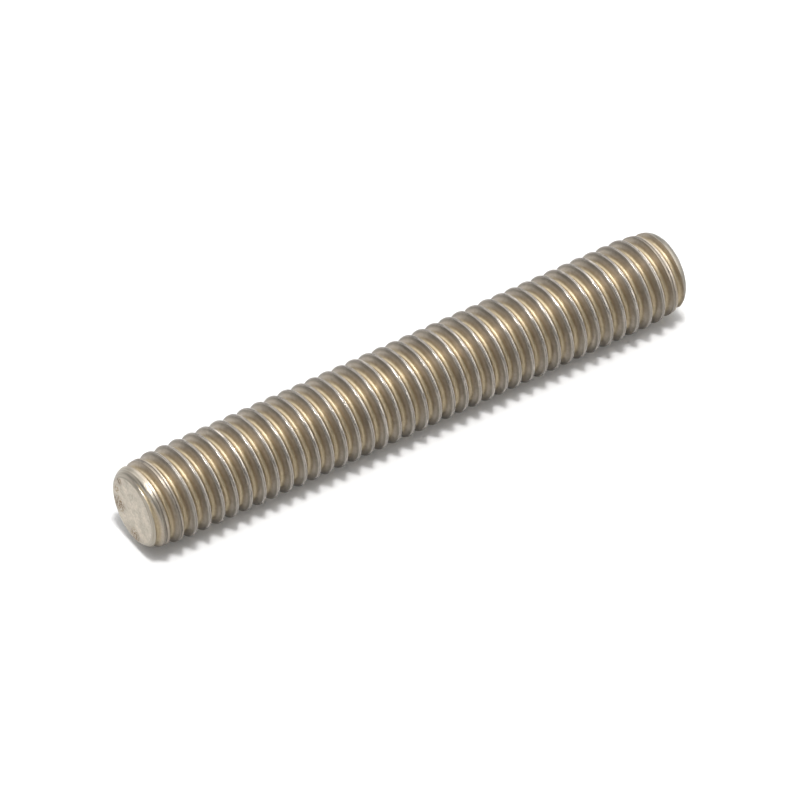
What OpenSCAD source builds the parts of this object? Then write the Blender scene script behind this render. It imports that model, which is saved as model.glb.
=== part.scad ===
// Fully threaded stud: one rod with a right-hand metric thread from end to end
// and a chamfer on each end. Millimetres, standing on its end, axis along Z.

/* [Stud] */
// Length over both ends
stud_length = 40; // [12:1:42]
// Pitch of the thread, from one crest to the next
thread_pitch = 1; // [0.95:0.05:1.25]
// Diameter over the crests of the rolled thread
major_d = 5.82; // [5.4:0.01:6.4]
// Diameter at the bottom of the groove
root_d = 4.76; // [4.4:0.01:5]
// Width of the flat along the crest
crest_w = 0.17; // [0.1:0.01:0.25]
// Turn of the thread about the axis, where a crest meets the plane of the foot
thread_turn = 110; // [0:1:359]

/* [Ends] */
// Diameter of the flat end face
end_face_d = 4.48; // [3.6:0.01:4.6]
// Height of the chamfer beside the end face
chamfer_h = 0.64; // [0.3:0.01:0.9]
// Diameter where the chamfer meets the tapered first threads
chamfer_d = 5.36; // [5.1:0.01:5.4]
// Height over which the first threads rise to the full crest
lead_h = 1.1; // [0.5:0.05:2]

/* [Fineness] */
// Flat sides in one turn of the thread
sides_a_turn = 34; // [24:1:36]

/* [Hidden] */
steel = [0.70, 0.67, 0.62];

// The thread runs past both ends, and the ends cut it off.
overrun = 1.5;
turns = ceil(stud_length / thread_pitch + 2 * overrun);
steps = sides_a_turn * turns;
first_z = -overrun * thread_pitch;
flank_slope = tan(30);
major_r = major_d / 2;
root_r = root_d / 2;
// The crest's corners stand a little proud of the cylinder that trims them.
crest_r = major_r / cos(180 / sides_a_turn);
half_crest = crest_w / 2;
half_ridge = half_crest + (crest_r - root_r) * flank_slope;

// Point on the helix line at a given step, radius and offset along the axis.
function helix_point(step, r, dz) =
    let (angle = 360 * step / sides_a_turn)
    [r * cos(angle), r * sin(angle), first_z + thread_pitch * step / sides_a_turn + dz];

// Outline of one ridge: lower foot, lower crest edge, upper crest edge, upper foot.
foot_line = [for (s = [0 : steps + sides_a_turn]) helix_point(s, root_r, -half_ridge)];
low_line = [for (s = [0 : steps]) helix_point(s, crest_r, -half_crest)];
high_line = [for (s = [0 : steps]) helix_point(s, crest_r, half_crest)];
top_line = [for (s = [0 : steps]) helix_point(s, root_r, half_ridge)];

low_at = len(foot_line);
high_at = low_at + len(low_line);
top_at = high_at + len(high_line);
axis_low = top_at + len(top_line);
axis_high = axis_low + 1;
axis_ends = [
    [0, 0, first_z - thread_pitch],
    [0, 0, first_z + thread_pitch * (turns + 1)]
];

// Two triangles between neighbouring points of a lower and an upper line.
function strip(lower, upper) = [
    for (s = [0 : steps - 1])
    for (t = [[lower + s, upper + s, upper + s + 1], [lower + s, upper + s + 1, lower + s + 1]]) t
];

// Closes the start and the end of the helix with a fan of triangles on the axis.
function fan(loop, hub) = [
    for (k = [0 : len(loop) - 1]) [hub, loop[k], loop[(k + 1) % len(loop)]]
];
start_loop = concat([for (s = [0 : sides_a_turn]) s], [top_at, high_at, low_at]);
end_loop = concat(
    [for (s = [steps + sides_a_turn : -1 : steps]) s],
    [low_at + steps, high_at + steps, top_at + steps]
);

module threaded_rod() {
    rotate([0, 0, thread_turn - 360 * overrun])
    polyhedron(
        points = concat(foot_line, low_line, high_line, top_line, axis_ends),
        faces = concat(
            strip(0, low_at),
            strip(low_at, high_at),
            strip(high_at, top_at),
            strip(top_at, sides_a_turn),
            fan(start_loop, axis_low),
            fan(end_loop, axis_high)
        )
    );
}

// Half section of the outer form that trims the thread: cylinder, lead and chamfers.
end_profile = [
    [0, 0],
    [end_face_d / 2, 0],
    [chamfer_d / 2, chamfer_h],
    [major_r, chamfer_h + lead_h],
    [major_r, stud_length - chamfer_h - lead_h],
    [chamfer_d / 2, stud_length - chamfer_h],
    [end_face_d / 2, stud_length],
    [0, stud_length]
];

module outer_form() {
    rotate_extrude($fn = 72)
    polygon(end_profile);
}

module stud() {
    color(steel)
    intersection() {
        threaded_rod();
        outer_form();
    }
}

stud();
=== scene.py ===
import bpy
import math
from mathutils import Matrix, Vector


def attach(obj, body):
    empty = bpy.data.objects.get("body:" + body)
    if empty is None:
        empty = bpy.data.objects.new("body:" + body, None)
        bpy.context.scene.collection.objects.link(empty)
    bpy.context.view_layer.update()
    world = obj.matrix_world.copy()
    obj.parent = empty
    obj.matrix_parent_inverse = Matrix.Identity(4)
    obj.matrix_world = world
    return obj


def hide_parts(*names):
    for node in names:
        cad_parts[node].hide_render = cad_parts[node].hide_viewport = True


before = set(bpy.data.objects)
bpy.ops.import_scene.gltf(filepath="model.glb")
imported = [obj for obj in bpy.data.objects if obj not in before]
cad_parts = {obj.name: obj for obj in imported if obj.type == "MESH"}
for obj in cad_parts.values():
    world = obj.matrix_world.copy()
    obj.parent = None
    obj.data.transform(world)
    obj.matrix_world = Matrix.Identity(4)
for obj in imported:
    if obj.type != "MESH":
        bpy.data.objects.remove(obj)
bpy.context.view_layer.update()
scene = bpy.context.scene
bpy.ops.object.select_all(action="DESELECT")

MM = 0.001

# The stud's real sizes, in millimetres: M6 with a 1 mm pitch, 40 mm long.
LENGTH = 40.0
PITCH = 1.0
MAJOR_R = 2.91
ROOT_R = 2.38
ROOT_ROUND = 0.2         # radius rolled into the bottom of the groove
CREST_EDGE = 0.1         # radius on the crest's corners
FLANK_DEG = 30.0         # each flank's angle from square to the axis
SEAM_DEPTH = 0.004       # depth of the fold along the middle of the crest
CHAMFER_H = 0.64         # height where the rounded end meets the tapered first threads
LEAD_H = 1.95            # height over which the first threads rise to the full crest
FACE_R = 2.08            # flat part of the end face, inside the rounded edge
NOSE_H, NOSE_R, NOSE_POWER = 0.76, 2.692, 1.75    # full quarter of the rounded end's curve
TURN_DEG = 110.0         # where a crest meets the foot's plane
OVERRUN = 2              # turns past each end, cut off by the ends
CLEAR = 0.005            # the trimming form stands this far outside the crests
FLARE = 0.3              # and widens by this past the first threads
STEPS = 90    # faces in one turn of the thread
TRIM_STEPS = 144         # faces round the trimming form
WELD = 1e-6              # points closer than this, in metres, become one


def lin(hex_code, alpha=1.0):
    """sRGB hex to the linear colour that Blender's sockets hold."""
    out = []
    for i in (0, 2, 4):
        c = int(hex_code[i:i + 2], 16) / 255
        out.append(c / 12.92 if c <= 0.04045 else ((c + 0.055) / 1.055) ** 2.4)
    return (*out, alpha)


def node(tree, kind, **values):
    """Adds one node; values go on its properties or, by name or index, on its inputs."""
    n = tree.nodes.new(kind)
    for key, value in values.items():
        if key == "inputs":
            for name, v in value.items():
                if hasattr(v, "is_output"):
                    tree.links.new(v, n.inputs[name])
                else:
                    n.inputs[name].default_value = v
        else:
            setattr(n, key, value)
    return n


# ---------------------------------------------------------------- shape

def chain(points):
    """A line of edges through points (radius, height) in millimetres, in the XZ plane."""
    bpy.ops.object.select_all(action="DESELECT")
    bpy.ops.mesh.primitive_plane_add(size=MM, location=(0, 0, 0))
    bpy.ops.object.mode_set(mode="EDIT")
    bpy.ops.mesh.select_all(action="SELECT")
    bpy.ops.mesh.merge(type="CENTER")
    bpy.ops.transform.translate(value=(points[0][0] * MM, 0, points[0][1] * MM))
    last = points[0]
    for p in points[1:]:
        step = ((p[0] - last[0]) * MM, 0, (p[1] - last[1]) * MM)
        bpy.ops.mesh.extrude_region_move(TRANSFORM_OT_translate={"value": step})
        last = p
    return bpy.context.object


def arc(cx, cy, r, a0, a1, n):
    """n + 1 points on an arc, angles in degrees from +radius towards +height."""
    out = []
    for i in range(n + 1):
        a = math.radians(a0 + (a1 - a0) * i / n)
        out.append((cx + r * math.cos(a), cy + r * math.sin(a)))
    return out


def ridge_profile():
    """One turn of the thread from groove bottom to groove bottom, (radius, height)."""
    # Half of the groove bottom: the round from its lowest point to the flank.
    half_root = [(ROOT_R + ROOT_ROUND - q[0], q[1]) for q in
                 [(ROOT_ROUND * math.cos(math.radians(t)), ROOT_ROUND * math.sin(math.radians(t)))
                  for t in (0, 15, 30, 45, 60)]]
    # The flank's line, r against height from the groove's middle.
    r0, h0 = half_root[-1]
    slope = 1 / math.tan(math.radians(FLANK_DEG))
    crest_h = PITCH / 2 - (h0 + (MAJOR_R - r0) / slope)      # half width of the crest
    # Rounded corner between the flank and the crest.
    cut = CREST_EDGE * math.tan(math.radians(FLANK_DEG))            # length lost on the crest
    corner = arc(MAJOR_R - CREST_EDGE, -(crest_h - cut), CREST_EDGE, -60, 0, 6)
    rise = [(r, h - PITCH / 2) for r, h in half_root] + corner
    seam = [(MAJOR_R - SEAM_DEPTH, 0.0)]  # the fold where the rolled crest closes
    up = rise + seam
    down = [(r, -h) for r, h in reversed(up[:-1])]
    return up + down


def nose_radius(h):
    """Radius of the rounded end at a height above its face: a superellipse's quarter."""
    rise = 1 - (1 - min(h / NOSE_H, 1)) ** NOSE_POWER
    return FACE_R + (NOSE_R - FACE_R) * rise ** (1 / NOSE_POWER)


def nose_profile(n):
    """n points of the rounded end, closer together beside the face."""
    heights = [CHAMFER_H * (i / n) ** 2 for i in range(1, n + 1)]
    return [(nose_radius(h), h) for h in heights]


def enter_edit(o):
    bpy.ops.object.select_all(action="DESELECT")
    o.select_set(True)
    bpy.context.view_layer.objects.active = o
    bpy.ops.object.mode_set(mode="EDIT")
    bpy.ops.mesh.select_mode(type="VERT")


def gather_end(o, top):
    """Draws one open loop of the screw out along the axis and gathers it to a point."""
    enter_edit(o)
    bpy.ops.mesh.select_all(action="DESELECT")
    bpy.ops.mesh.select_non_manifold(extend=False, use_wire=False, use_boundary=True,
                                     use_multi_face=False, use_non_contiguous=False, use_verts=False)
    bpy.ops.object.mode_set(mode="OBJECT")
    mid = LENGTH * MM / 2
    for v in o.data.vertices:
        v.select = v.select and (v.co.z > mid) == top
    for e in o.data.edges:
        e.select = all(o.data.vertices[k].select for k in e.vertices)
    for f in o.data.polygons:
        f.select = False
    enter_edit(o)
    out = (0, 0, (PITCH if top else -PITCH) * MM)
    bpy.ops.mesh.extrude_edges_move(TRANSFORM_OT_translate={"value": out})
    bpy.ops.mesh.merge(type="CENTER")
    bpy.ops.object.mode_set(mode="OBJECT")


def threaded_rod():
    """The profile screwed round the axis past both ends of the rod, and closed."""
    o = chain(ridge_profile())
    bpy.ops.object.mode_set(mode="OBJECT")
    m = o.modifiers.new("screw", "SCREW")
    m.axis = "Z"
    m.angle = 2 * math.pi
    m.screw_offset = PITCH * MM
    m.iterations = int(LENGTH / PITCH) + 2 * OVERRUN
    m.steps = m.render_steps = STEPS
    bpy.ops.object.modifier_apply(modifier=m.name)
    enter_edit(o)
    bpy.ops.mesh.select_all(action="SELECT")
    bpy.ops.mesh.remove_doubles(threshold=WELD)
    bpy.ops.object.mode_set(mode="OBJECT")
    gather_end(o, False)
    gather_end(o, True)
    o.location = (0, 0, -OVERRUN * PITCH * MM)
    o.rotation_euler = (0, 0, math.radians(TURN_DEG))
    bpy.ops.object.transform_apply(location=True, rotation=True, scale=True)
    enter_edit(o)
    bpy.ops.mesh.select_all(action="SELECT")
    bpy.ops.mesh.normals_make_consistent(inside=False)
    bpy.ops.object.mode_set(mode="OBJECT")
    return o


def outer_form():
    """The lathe form that trims the rod: cylinder, tapered first threads, chamfers, faces."""
    half = [(0, 0), (1.5, 0), (FACE_R, 0)] + nose_profile(12)
    full = CHAMFER_H + LEAD_H
    half += [(MAJOR_R + CLEAR, full), (MAJOR_R + FLARE, full + FLARE)]
    o = chain(half + [(r, LENGTH - h) for r, h in reversed(half)])
    bpy.ops.mesh.select_all(action="SELECT")
    bpy.ops.mesh.spin(steps=TRIM_STEPS, angle=2 * math.pi, center=(0, 0, 0), axis=(0, 0, 1))
    bpy.ops.mesh.select_all(action="SELECT")
    bpy.ops.mesh.remove_doubles(threshold=WELD)
    bpy.ops.mesh.normals_make_consistent(inside=False)
    bpy.ops.object.mode_set(mode="OBJECT")
    bpy.ops.object.transform_apply(location=True, rotation=True, scale=True)
    return o


stud = threaded_rod()
trim = outer_form()
bpy.ops.object.select_all(action="DESELECT")
stud.select_set(True)
bpy.context.view_layer.objects.active = stud
cut = stud.modifiers.new("ends", "BOOLEAN")
cut.operation = "INTERSECT"
cut.solver = "MANIFOLD"
cut.object = trim
bpy.ops.object.modifier_apply(modifier=cut.name)
bpy.data.objects.remove(trim)
stud.name = stud.data.name = "stud_rolled_thread"
bpy.ops.object.shade_smooth_by_angle(angle=math.radians(32))
flat = stud.modifiers.new("normals", "WEIGHTED_NORMAL")
flat.mode = "FACE_AREA"
flat.weight = 80
flat.keep_sharp = True
bpy.ops.object.modifier_apply(modifier=flat.name)

# ------------------------------------------------------------ materials

def metal(name, colour, rough):
    m = bpy.data.materials.new(name)
    m.use_nodes = True
    t = m.node_tree
    t.nodes.clear()
    out = node(t, "ShaderNodeOutputMaterial")
    p = node(t, "ShaderNodeBsdfPrincipled",
             inputs={"Base Color": lin(colour), "Metallic": 1.0, "Roughness": rough})
    t.links.new(p.outputs[0], out.inputs["Surface"])
    return m, t, p


def maths(t, operation, a, b=0.0):
    return node(t, "ShaderNodeMath", operation=operation, inputs={0: a, 1: b}).outputs[0]


def ramp_between(t, value, low, high, start=0.0, end=1.0):
    """A value's smooth step: start below low, end above high."""
    return node(t, "ShaderNodeMapRange", interpolation_type="SMOOTHSTEP",
                inputs={0: value, 1: low, 2: high, 3: start, 4: end}).outputs[0]


def noise(t, vector, scale, detail):
    return node(t, "ShaderNodeTexNoise", inputs={
        "Vector": vector, "Scale": scale, "Detail": detail}).outputs[0]


def place_mm(t):
    """Object coordinates in millimetres: the vector, its parts, and the distance from the axis."""
    at = node(t, "ShaderNodeVectorMath", operation="SCALE",
              inputs={0: node(t, "ShaderNodeTexCoord").outputs["Object"], "Scale": 1 / MM}).outputs[0]
    x, y, z = node(t, "ShaderNodeSeparateXYZ", inputs={0: at}).outputs
    r = maths(t, "SQRT", maths(t, "ADD", maths(t, "MULTIPLY", x, x), maths(t, "MULTIPLY", y, y)))
    return at, x, y, z, r


def pattern_place(t, x, y, around, third):
    """A vector for a pattern drawn out round the axis: x and y count little, the third much."""
    return node(t, "ShaderNodeCombineXYZ", inputs={
        0: maths(t, "MULTIPLY", x, around), 1: maths(t, "MULTIPLY", y, around), 2: third}).outputs[0]


def tint(t, colour, factor):
    """A colour made darker or lighter by a factor."""
    return node(t, "ShaderNodeVectorMath", operation="SCALE", inputs={0: colour, "Scale": factor}).outputs[0]


def bump(t, p, height, depth_mm):
    """Puts a height of 0 to 1 on the surface as a bump of a real depth."""
    b = node(t, "ShaderNodeBump", inputs={"Height": height, "Distance": depth_mm * MM, "Strength": 1.0})
    t.links.new(b.outputs[0], p.inputs["Normal"])


FACE_COLOUR, EDGE_COLOUR, DIRT_COLOUR = "BCB4A7", "9C9589", "6E5636"

# Stainless steel, thread rolled: bright and slightly warm, with a warm glow painted into the groove bottom
# and painted shade on the flanks, with fine lines along the thread, small nicks on the crests and a fold
# where the crest closes.
steel, t, p = metal("stainless_steel_rolled", "B0A798", 0.28)
at, x, y, z, r = place_mm(t)
turn = maths(t, "DIVIDE", maths(t, "ARCTAN2", y, x), 2 * math.pi)
rise = maths(t, "ADD", maths(t, "SUBTRACT", maths(t, "DIVIDE", z, PITCH), turn), TURN_DEG / 360)
# side: pitches from the crest's middle, -0.5 to 0.5; crest: height of that crest, in pitches.
side = maths(t, "SUBTRACT", maths(t, "FRACT", maths(t, "ADD", rise, 0.5)), 0.5)
crest = maths(t, "SUBTRACT", maths(t, "DIVIDE", z, PITCH), side)
off = maths(t, "ABSOLUTE", side)
# 1 on the first threads of both ends, 0 along the middle.
from_end = maths(t, "MINIMUM", z, maths(t, "SUBTRACT", LENGTH, z))
first = ramp_between(t, from_end, 1.5, 4.5, 1.0, 0.0)
on_crest = ramp_between(t, off, 0.09, 0.15, 1.0, 0.0)

# Painted light by depth: a warm glow painted into the groove bottom, painted shade on the flanks, the crests
# left lighter.
painted_light_by_depth = node(t, "ShaderNodeValToRGB", inputs={0: ramp_between(t, r, ROOT_R, MAJOR_R)})
ramp = painted_light_by_depth.color_ramp.elements
ramp[0].color, ramp[1].color = lin("A3957C"), lin("AFA89F")
ramp.new(0.3).color = lin("9D9385")
ramp.new(0.92).color = lin("999084")
# Lines about 0.1 mm wide and some millimetres long.
line_place = pattern_place(t, x, y, 0.5, maths(
    t, "ADD", maths(t, "MULTIPLY", side, 9.0), maths(t, "MULTIPLY", crest, 3.7)))
lines = noise(t, line_place, 1.0, 3.0)
# Grain about 0.2 mm across.
grain = noise(t, at, 5.0, 3.0)
# Nicks about 0.2 mm across, on the crests only, more of them on the first threads.
nick_place = pattern_place(t, x, y, 2.6, maths(
    t, "ADD", maths(t, "MULTIPLY", side, 6.0), maths(t, "MULTIPLY", crest, 7.3)))
nick_from = ramp_between(t, first, 0.0, 1.0, 0.68, 0.6)
nicks = maths(t, "MULTIPLY", on_crest, ramp_between(
    t, maths(t, "SUBTRACT", noise(t, nick_place, 1.0, 2.0), nick_from), 0.0, 0.07))
# The fold along the crest, broken, and wider on the first threads.
fold_w = ramp_between(t, first, 0.0, 1.0, 0.038, 0.055)
fold_place = pattern_place(t, x, y, 0.6, maths(t, "MULTIPLY", crest, 5.3))
fold_seen = ramp_between(t, maths(
    t, "ADD", noise(t, fold_place, 1.0, 1.0), maths(t, "MULTIPLY", first, 0.25)), 0.28, 0.42)
fold = maths(t, "MULTIPLY", fold_seen, ramp_between(t, maths(t, "DIVIDE", off, fold_w), 0.3, 1.0, 1.0, 0.0))
# Painted shade: the nicks and the fold along the crest are darkened in colour, as shade in these dents.
dark = maths(t, "ADD", maths(t, "MULTIPLY", nicks, 0.25), maths(t, "MULTIPLY", fold, 0.6))
tone = maths(t, "SUBTRACT", ramp_between(t, lines, 0.3, 0.7, 0.9, 1.08), dark)
tone = maths(t, "MULTIPLY", tone, ramp_between(t, grain, 0.3, 0.7, 0.92, 1.08))
# Painted shade: one side of each crest, the side towards the upper end, is darkened in colour.
painted_crest_shade = maths(t, "MULTIPLY", ramp_between(t, side, 0.0, 0.07), ramp_between(t, off, 0.14, 0.24, 1.0, 0.0))
tone = maths(t, "MULTIPLY", tone, maths(t, "SUBTRACT", 1.0, maths(t, "MULTIPLY", painted_crest_shade, 0.36)))
t.links.new(tint(t, painted_light_by_depth.outputs[0], maths(t, "MAXIMUM", tone, 0.1)), p.inputs["Base Color"])
line_depth = maths(t, "MULTIPLY", lines, ramp_between(t, first, 0.0, 1.0, 0.35, 1.0))
height = maths(t, "ADD", line_depth, maths(t, "MULTIPLY", grain, 0.12))
height = maths(t, "SUBTRACT", height, maths(t, "ADD", maths(t, "MULTIPLY", nicks, 0.45), fold))
bump(t, p, height, 0.014)
# Roughest at the bottom of the groove, smoothest on the crests, which are worn on the first threads.
rough = maths(t, "SUBTRACT", ramp_between(t, r, ROOT_R, ROOT_R + 0.25, 0.5, 0.36),
              maths(t, "MULTIPLY", on_crest, 0.11))
worn = maths(t, "MULTIPLY", maths(t, "MULTIPLY", first, on_crest), 0.2)
t.links.new(maths(t, "ADD", rough, worn), p.inputs["Roughness"])

# The same steel, sawn and rubbed flat: a matt face, mottled, with brown specks of dirt by its edge.
sawn, t, p = metal("stainless_steel_sawn", FACE_COLOUR, 0.55)
at, x, y, z, r = place_mm(t)
mottle = noise(t, at, 1.3, 4.0)
speck = noise(t, at, 6.0, 3.0)
# Where the dirt lies on the face: x, y and reach in millimetres.
DIRT = ((1.45, 0.5, 0.85), (-0.3, 1.8, 0.75), (1.4, -1.4, 0.4), (1.75, -0.5, 0.4))
spot = None
for dx, dy, reach in DIRT:
    d = node(t, "ShaderNodeVectorMath", operation="DISTANCE",
             inputs={0: node(t, "ShaderNodeCombineXYZ", inputs={0: x, 1: y}).outputs[0], 1: (dx, dy, 0)})
    near = ramp_between(t, d.outputs["Value"], reach * 0.3, reach, 1.0, 0.0)
    spot = near if spot is None else maths(t, "MAXIMUM", spot, near)
dirt = maths(t, "MULTIPLY", spot, ramp_between(t, speck, 0.46, 0.54))
shade = maths(t, "MULTIPLY", ramp_between(t, mottle, 0.3, 0.7, 0.84, 1.12),
              ramp_between(t, speck, 0.3, 0.7, 0.88, 1.1))
shade = maths(t, "MULTIPLY", shade, ramp_between(t, r, 1.5, 2.05, 1.0, 0.93))
stain = node(t, "ShaderNodeMix", data_type="RGBA", inputs={
    0: maths(t, "MULTIPLY", dirt, 0.85), 6: lin(FACE_COLOUR), 7: lin(DIRT_COLOUR)}).outputs[2]
t.links.new(tint(t, stain, shade), p.inputs["Base Color"])
bump(t, p, maths(t, "ADD", maths(t, "MULTIPLY", mottle, 0.6), maths(t, "MULTIPLY", speck, 0.4)), 0.012)

# The same steel, turned and then rolled over: the rounded edge, with rings of streaks.
turned, t, p = metal("stainless_steel_turned", EDGE_COLOUR, 0.36)
at, x, y, z, r = place_mm(t)
from_end = maths(t, "MINIMUM", z, maths(t, "SUBTRACT", LENGTH, z))
ring_place = pattern_place(t, x, y, 0.45, maths(
    t, "ADD", maths(t, "MULTIPLY", from_end, 6.0), maths(t, "MULTIPLY", r, 5.0)))
rings = noise(t, ring_place, 1.0, 3.0)
grain = noise(t, at, 5.0, 3.0)
# Rings of streaks, with painted shade: the lower end's edge is darkened, down to 0.62 of the upper end's.
rings_and_painted_shade = maths(t, "MULTIPLY", ramp_between(t, rings, 0.32, 0.68, 0.78, 1.12),
                  ramp_between(t, z, 10.0, 30.0, 0.62, 1.0))
t.links.new(tint(t, lin(EDGE_COLOUR)[:3], rings_and_painted_shade), p.inputs["Base Color"])
bump(t, p, maths(t, "ADD", maths(t, "MULTIPLY", rings, 0.8), maths(t, "MULTIPLY", grain, 0.2)), 0.03)

stud.data.materials.clear()
for m in (steel, sawn, turned):
    stud.data.materials.append(m)
for f in stud.data.polygons:
    c = f.center / MM
    h = min(c.z, LENGTH - c.z)
    r = math.hypot(c.x, c.y)
    if h < 0.02 and abs(f.normal.z) > 0.9:
        f.material_index = 1
    elif h < CHAMFER_H and abs(r - nose_radius(h)) < 0.03:
        f.material_index = 2
    else:
        f.material_index = 0

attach(stud, "root")
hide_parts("stud")

# --------------------------------------------------------------- studio

def light_path_white(t, strength):
    """Emission seen by the camera, in metal and through glass only."""
    lp = node(t, "ShaderNodeLightPath")
    seen = maths(t, "MAXIMUM", lp.outputs["Is Camera Ray"], lp.outputs["Is Glossy Ray"])
    seen = maths(t, "MAXIMUM", seen, lp.outputs["Is Transmission Ray"])
    return node(t, "ShaderNodeEmission", inputs={
        "Color": (1, 1, 1, 1), "Strength": maths(t, "MULTIPLY", seen, strength)})


# The ground that the stud lies along: a plane that touches the thread's side.
bpy.ops.object.select_all(action="DESELECT")
bpy.ops.mesh.primitive_plane_add(size=4.0, location=(0, MAJOR_R * MM, 0), rotation=(math.pi / 2, 0, 0))
ground = bpy.context.object
ground.name = "ground_white"
m = bpy.data.materials.new("matt_white_board")
m.use_nodes = True
t = m.node_tree
t.nodes.clear()
out = node(t, "ShaderNodeOutputMaterial")
dif = node(t, "ShaderNodeBsdfDiffuse", inputs={"Color": lin("FAFAFA")})
glow = light_path_white(t, 0.03)
add = node(t, "ShaderNodeAddShader")
t.links.new(dif.outputs[0], add.inputs[0])
t.links.new(glow.outputs[0], add.inputs[1])
geo = node(t, "ShaderNodeNewGeometry")
clear = node(t, "ShaderNodeBsdfTransparent")
mix = node(t, "ShaderNodeMixShader", inputs={0: geo.outputs["Backfacing"]})
t.links.new(add.outputs[0], mix.inputs[1])
t.links.new(clear.outputs[0], mix.inputs[2])
t.links.new(mix.outputs[0], out.inputs["Surface"])
ground.data.materials.append(m)

world = bpy.data.worlds.new("studio")
scene.world = world
world.use_nodes = True
world.node_tree.nodes.clear()
wo = node(world.node_tree, "ShaderNodeOutputWorld")
# The room: brighter behind the stud, with a dark gap between the key and the light in front
# of the end.
t = world.node_tree
way = node(t, "ShaderNodeTexCoord").outputs["Generated"]
to_x, to_y, to_z = node(t, "ShaderNodeSeparateXYZ", inputs={0: way}).outputs
gap = maths(t, "MULTIPLY", ramp_between(t, to_z, 0.42, 0.55), ramp_between(t, to_z, 0.78, 0.88, 1.0, 0.0))
level = maths(t, "SUBTRACT", ramp_between(t, to_x, 0.1, 0.8, 0.44, 0.95), maths(t, "MULTIPLY", gap, 0.3))
bg = node(world.node_tree, "ShaderNodeBackground", inputs={"Color": (1.0, 1.0, 1.0, 1), "Strength": level})
world.node_tree.links.new(bg.outputs[0], wo.inputs["Surface"])

CENTRE = Vector((0, 0, LENGTH * MM / 2))


def direction(tilt, along):
    """Unit vector: tilt from straight off the ground towards -X, along towards +Z, degrees."""
    a, b = math.radians(tilt), math.radians(along)
    return Vector((-math.sin(a) * math.cos(b), -math.cos(a) * math.cos(b), math.sin(b)))


def softbox(name, tilt, along, distance, width, height, radiance):
    data = bpy.data.lights.new(name, "AREA")
    data.shape = "RECTANGLE"
    data.size, data.size_y = width, height
    data.energy = radiance * math.pi * width * height
    o = bpy.data.objects.new(name, data)
    scene.collection.objects.link(o)
    d = direction(tilt, along)
    o.location = CENTRE + d * distance
    o.rotation_mode = "QUATERNION"
    o.rotation_quaternion = d.to_track_quat("Z", "Y")
    o.visible_camera = False
    return o


# A wide key above the stud with a smaller, harder one in it, and cards that only the metal sees.
softbox("key_softbox", 10, 4, 1.0, 0.5, 0.45, 3.6)
softbox("hard_key", 8.5, 4, 0.99, 0.15, 0.15, 76.0)
for name, tilt, along, width, height, radiance in (("back_card", -22, -14, 1.7, 1.3, 1.6),
                                                   ("far_card", 20, -62, 1.3, 1.0, 2.6),
                                                   ("fill_card", 50, -38, 1.0, 0.5, 1.7),
                                                   ("end_card", 10, 78, 0.7, 0.5, 1.6)):
    card = softbox(name, tilt, along, 1.0, width, height, radiance)
    card.visible_diffuse = False

# --------------------------------------------------------------- camera

cam_data = bpy.data.cameras.new("camera")
cam = bpy.data.objects.new("camera", cam_data)
scene.collection.objects.link(cam)
FOCAL_PX, PICTURE_PX, SENSOR_MM = 6927.5, 800, 36.0
cam_data.sensor_width = SENSOR_MM
cam_data.lens = FOCAL_PX / PICTURE_PX * SENSOR_MM
cam_data.clip_start, cam_data.clip_end = 0.01, 20.0
back = Vector((-0.611968, -0.674565, 0.412865)).normalized()
right = Vector((-0.559274, 0.0, -0.828983))
right = (right - back * right.dot(back)).normalized()
up = back.cross(right)
place = Vector((-0.263645, -0.289696, 0.198174))
cam.matrix_world = Matrix((
    (right.x, up.x, back.x, place.x),
    (right.y, up.y, back.y, place.y),
    (right.z, up.z, back.z, place.z),
    (0, 0, 0, 1)))
scene.camera = cam
scene.view_settings.view_transform = "Standard"
